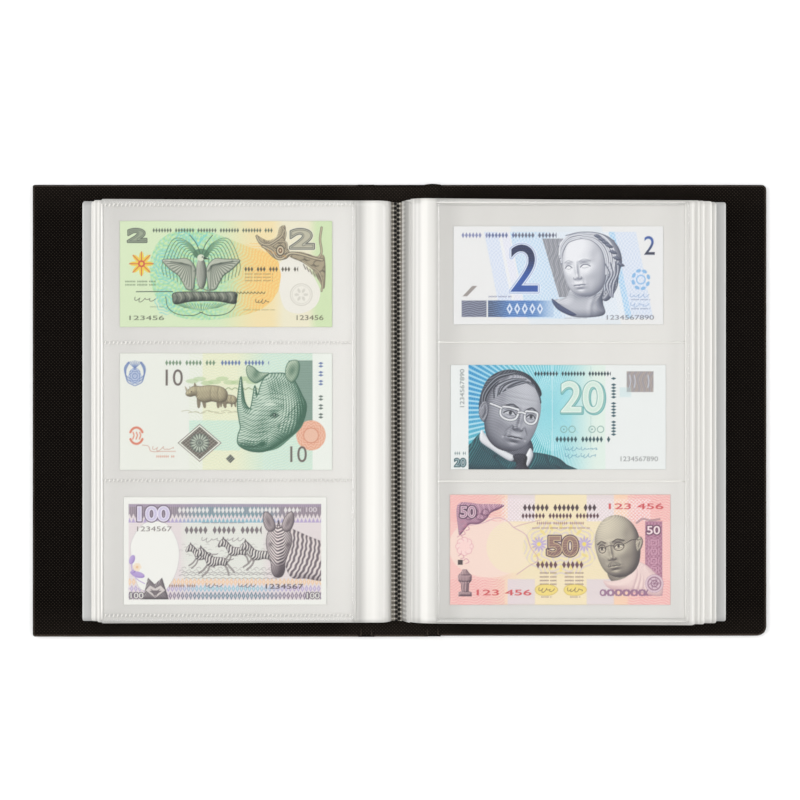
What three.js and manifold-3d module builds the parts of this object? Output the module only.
// A bound pocket album for banknotes, lying open. Millimetres, +Z up, origin on the table under the middle of
// the open cover, +X to the reader's right, +Y to the head of the pages.
import * as THREE from 'three';
import { mergeVertices } from 'three/addons/utils/BufferGeometryUtils.js';
import Module from 'manifold-3d';

// Cover
const coverHeight = 302;        // head to tail, along Y
const openWidth = 492;          // fore-edge to fore-edge with the album open
const outerSkin = 0.7;
const innerSkin = 0.5;
const boardThickness = 2;
const rimWidth = 0.7;           // the outer skin turned up around a board
const boardClearance = 0.3;
const foreEdgeRadius = 4.5;
const hingeSideRadius = 1;
const spineHalfWidth = 19.5;
const hingeOuter = 24.7;        // where the living hinge ends and a cover board's case begins
const coverStart = 25;
const webBottom = 0.3;
const webTop = 1.2;

// Page block
const pageWidth = 199.3;        // binding edge to fore-edge, along the film
const pageHeight = 280;
const pageMiddle = -1;          // the block sits a little low in the cover
const pageCornerRadius = 2.5;
const rootSpread = 0.95;        // the pitch of the binding edges over the pitch of the flat films
const layerGap = 0.3;
const stackBase = 4;            // underside of the lowest page
const sectionPitch = 1.9;
const leafPitch = 1.6;
const bindingStrip = 0.5;       // the cloth strip on the spine's lining that the binding edges are welded to
const rootBase = outerSkin + boardThickness + innerSkin + bindingStrip + layerGap;
const stripReach = 18.5;        // half the binding strip's width
const gutterWeld = 0.8;         // thickness of the films welded together in the gutter
const marginThickness = 1;
// The two halves of the block at this opening. Film turns up at rootEdge and is flat past bendX. Towards the top
// of a half, the swell at the gutter takes up this much more film than the plain bend does.
const sides = [
  { name: 'front', sign: -1, rootEdge: -4.8, bendX: -13.8, swell: 2.4, sections: 4, leaves: ['left_page'] },
  {
    name: 'back', sign: 1, rootEdge: 0.8, bendX: 21.3, swell: 1, sections: 7,
    leaves: ['back_leaf_1', 'back_leaf_2', 'right_page'],
  },
];

// Pockets of a page
const backFilm = 0.4;
const slotDepth = 0.5;
const pocketCount = 3;
const pocketPitch = 91.5;
const weldWidth = 3;
const foldMargin = 2.5;         // closed film between a pocket's end and the fore-edge
const mouthAt = { left: -29.6, right: 24.4 };

// Banknotes: page, pocket, size, and the middle of the note
const noteThickness = 0.3;
const noteLift = 0.1;
const notes = [
  { name: 'left_note_top', page: 'left_page', size: [141, 70.4], middle: [-115.3, 90.4] },
  { name: 'left_note_middle', page: 'left_page', size: [141, 77.6], middle: [-115.3, -1] },
  { name: 'left_note_bottom', page: 'left_page', size: [134.8, 71.6], middle: [-115.9, -93.5] },
  { name: 'right_note_top', page: 'right_page', size: [138.2, 64.8], middle: [104.6, 88.8] },
  { name: 'right_note_middle', page: 'right_page', size: [141.8, 68.8], middle: [104.5, -4.6] },
  { name: 'right_note_bottom', page: 'right_page', size: [145.2, 72.6], middle: [105.8, -91.9] },
];

const wasm = await Module();
wasm.setup();

const album = new THREE.Group();

const leatherette = () => new THREE.MeshStandardMaterial({ color: 0x17130f, roughness: 0.6, metalness: 0 });
const greyboard = () => new THREE.MeshStandardMaterial({ color: 0x8f8a80, roughness: 0.9, metalness: 0 });
const clearFilm = () => new THREE.MeshStandardMaterial({ color: 0xdfe0dc, roughness: 0.25, metalness: 0 });
const bindingTape = () => new THREE.MeshStandardMaterial({ color: 0x3a3835, roughness: 0.8, metalness: 0 });
const notePaper = () => new THREE.MeshStandardMaterial({ color: 0xcfd8cc, roughness: 0.7, metalness: 0 });

function add(name, geometry, material) {
  const mesh = new THREE.Mesh(geometry, material);
  mesh.name = name;
  album.add(mesh);
}

// A rectangle in plan whose two corners at x1 have radius r1 and whose two at x0 have radius r0.
function plate(x0, x1, y0, y1, r0, r1) {
  const shape = new THREE.Shape();
  shape.moveTo(x0 + r0, y0);
  shape.lineTo(x1 - r1, y0);
  if (r1 > 0) shape.absarc(x1 - r1, y0 + r1, r1, -Math.PI / 2, 0, false);
  shape.lineTo(x1, y1 - r1);
  if (r1 > 0) shape.absarc(x1 - r1, y1 - r1, r1, 0, Math.PI / 2, false);
  shape.lineTo(x0 + r0, y1);
  if (r0 > 0) shape.absarc(x0 + r0, y1 - r0, r0, Math.PI / 2, Math.PI, false);
  shape.lineTo(x0, y0 + r0);
  if (r0 > 0) shape.absarc(x0 + r0, y0 + r0, r0, Math.PI, 1.5 * Math.PI, false);
  return shape;
}

// The plate stood between two heights.
function slab(shape, z0, z1) {
  const body = new THREE.ExtrudeGeometry(shape, { depth: z1 - z0, bevelEnabled: false, curveSegments: 5 });
  body.translate(0, 0, z0);
  return body;
}

function box(x0, x1, y0, y1, z0, z1) {
  const body = new THREE.BoxGeometry(x1 - x0, y1 - y0, z1 - z0);
  body.translate((x0 + x1) / 2, (y0 + y1) / 2, (z0 + z1) / 2);
  return body;
}

function toSolid(geometry) {
  const bare = geometry.clone();
  bare.deleteAttribute('normal');
  bare.deleteAttribute('uv');
  const merged = mergeVertices(bare);
  return new wasm.Manifold(new wasm.Mesh({
    numProp: 3,
    vertProperties: new Float32Array(merged.attributes.position.array),
    triVerts: new Uint32Array(merged.index.array),
  }));
}

function cut(geometry, tools) {
  const solid = tools.reduce((left, tool) => left.subtract(toSolid(tool)), toSolid(geometry));
  const mesh = solid.getMesh();
  const body = new THREE.BufferGeometry();
  body.setAttribute('position', new THREE.BufferAttribute(new Float32Array(mesh.vertProperties), 3));
  body.setIndex(new THREE.BufferAttribute(new Uint32Array(mesh.triVerts), 1));
  body.computeVertexNormals();
  return body;
}

// A case of outer skin, board and inner skin. The outer skin is a tray whose rim wraps the board's edges.
function addCase(name, x0, x1, r0, r1) {
  const y1 = coverHeight / 2;
  const boardTop = outerSkin + boardThickness;
  const inset = rimWidth;
  const fit = rimWidth + boardClearance;
  const outer = plate(x0, x1, -y1, y1, r0, r1);
  const hollow = plate(x0 + inset, x1 - inset, -y1 + inset, y1 - inset, r0 / 2, r1 / 2);
  const board = plate(x0 + fit, x1 - fit, -y1 + fit, y1 - fit, r0 / 2, r1 / 2);
  add(`${name}_outer_skin`, cut(slab(outer, 0, boardTop), [slab(hollow, outerSkin, boardTop + 1)]), leatherette());
  add(`${name}_board`, slab(board, outerSkin, boardTop), greyboard());
  add(`${name}_inner_skin`, slab(outer, boardTop, boardTop + innerSkin), leatherette());
}

function addCover() {
  const half = coverHeight / 2;
  addCase('front_cover', -openWidth / 2, -coverStart, foreEdgeRadius, hingeSideRadius);
  addCase('back_cover', coverStart, openWidth / 2, hingeSideRadius, foreEdgeRadius);
  addCase('spine', -spineHalfWidth, spineHalfWidth, hingeSideRadius, hingeSideRadius);
  add('front_hinge_web', box(-hingeOuter, -spineHalfWidth, -half, half, webBottom, webTop), leatherette());
  add('back_hinge_web', box(spineHalfWidth, hingeOuter, -half, half, webBottom, webTop), leatherette());
}

// Ramanujan's length of a quarter of an ellipse.
function quarterEllipse(a, b) {
  const h = ((a - b) / (a + b)) ** 2;
  return (Math.PI / 4) * (a + b) * (1 + (3 * h) / (10 + Math.sqrt(4 - 3 * h)));
}

// The layers of one half of the block, lowest first: their heights, their bent margins and their flat panels.
function layersOf(side) {
  const names = [];
  for (let i = 1; i <= side.sections; i += 1) names.push(`${side.name}_pages_${i}`);
  const pitches = names.map(() => sectionPitch).concat(side.leaves.map(() => leafPitch));
  names.push(...side.leaves);
  const stack = pitches.reduce((sum, pitch) => sum + pitch, 0);
  let below = 0;
  return names.map((name, i) => {
    const bottom = stackBase + below;
    const top = bottom + pitches[i] - layerGap;
    const middle = (bottom + top) / 2;
    const rootX = side.rootEdge + side.sign * rootSpread * (stack - below - pitches[i] / 2);
    const radii = [Math.abs(side.bendX - rootX), middle - rootBase];
    const panel = pageWidth - quarterEllipse(...radii) - side.swell * (below / stack);
    below += pitches[i];
    return { name, bottom, top, radii, foreEdge: side.bendX + side.sign * panel };
  });
}

// The bent margin between the binding strip and the flat panel: a quarter of an ellipse, extruded head to tail.
function margin(side, radii) {
  const half = marginThickness / 2;
  const steps = 10;
  const rim = [];
  const point = (grow, k) => {
    const turn = (Math.PI / 2) * (k / steps);
    return new THREE.Vector2(
      side.bendX - side.sign * (radii[0] + grow) * Math.cos(turn),
      rootBase + (radii[1] + grow) * Math.sin(turn),
    );
  };
  for (let k = 0; k <= steps; k += 1) rim.push(point(half, k));
  for (let k = steps; k >= 0; k -= 1) rim.push(point(-half, k));
  const body = new THREE.ExtrudeGeometry(new THREE.Shape(rim), { depth: pageHeight, bevelEnabled: false });
  body.rotateX(Math.PI / 2);
  body.translate(0, pageMiddle + pageHeight / 2, 0);
  return body;
}

function panelPlate(side, foreEdge) {
  const y0 = pageMiddle - pageHeight / 2;
  const y1 = pageMiddle + pageHeight / 2;
  const start = side.bendX + side.sign * layerGap / 2;
  if (side.sign > 0) return plate(start, foreEdge, y0, y1, 0, pageCornerRadius);
  return plate(foreEdge, start, y0, y1, pageCornerRadius, 0);
}

// A page whose front film stops at the pocket mouths, with three pockets open towards the gutter.
function pocketPage(side, layer) {
  const mouth = side.sign > 0 ? mouthAt.right : mouthAt.left;
  const span = (a, b) => [Math.min(a, b), Math.max(a, b)];
  const head = pageMiddle + pageHeight / 2 + 1;
  const slotBottom = layer.bottom + backFilm;
  const tools = [box(...span(side.bendX - side.sign, mouth), -head - 2, head, slotBottom, layer.top + 1)];
  for (let i = 0; i < pocketCount; i += 1) {
    const middle = pageMiddle + (i - 1) * pocketPitch;
    const reach = (pocketPitch - weldWidth) / 2;
    const ends = span(mouth - side.sign, layer.foreEdge - side.sign * foldMargin);
    tools.push(box(...ends, middle - reach, middle + reach, slotBottom, slotBottom + slotDepth));
  }
  return cut(slab(panelPlate(side, layer.foreEdge), layer.bottom, layer.top), tools);
}

function addPages() {
  for (const side of sides) {
    for (const layer of layersOf(side)) {
      const isLeaf = side.leaves.includes(layer.name);
      const plain = slab(panelPlate(side, layer.foreEdge), layer.bottom, layer.top);
      add(layer.name, isLeaf ? pocketPage(side, layer) : plain, clearFilm());
      add(`${layer.name}_margin`, margin(side, layer.radii), clearFilm());
      for (const note of notes.filter((entry) => entry.page === layer.name)) {
        const [x, y] = note.middle;
        const [wide, tall] = note.size;
        const z = layer.bottom + backFilm + noteLift;
        const sheet = box(x - wide / 2, x + wide / 2, y - tall / 2, y + tall / 2, z, z + noteThickness);
        add(note.name, sheet, notePaper());
      }
    }
  }
}

// The strip under all binding edges, and the one knurled weld that shows in the gutter between the two halves.
function addBinding() {
  const [y0, y1] = [pageMiddle - pageHeight / 2, pageMiddle + pageHeight / 2];
  const top = rootBase - layerGap;
  add('binding_strip', box(-stripReach, stripReach, y0, y1, top - bindingStrip, top), bindingTape());
  const [left, right] = sides;
  const weld = box(left.rootEdge, right.rootEdge, y0, y1, rootBase, rootBase + gutterWeld);
  add('gutter_weld', weld, clearFilm());
}

addCover();
addBinding();
addPages();

export default album;
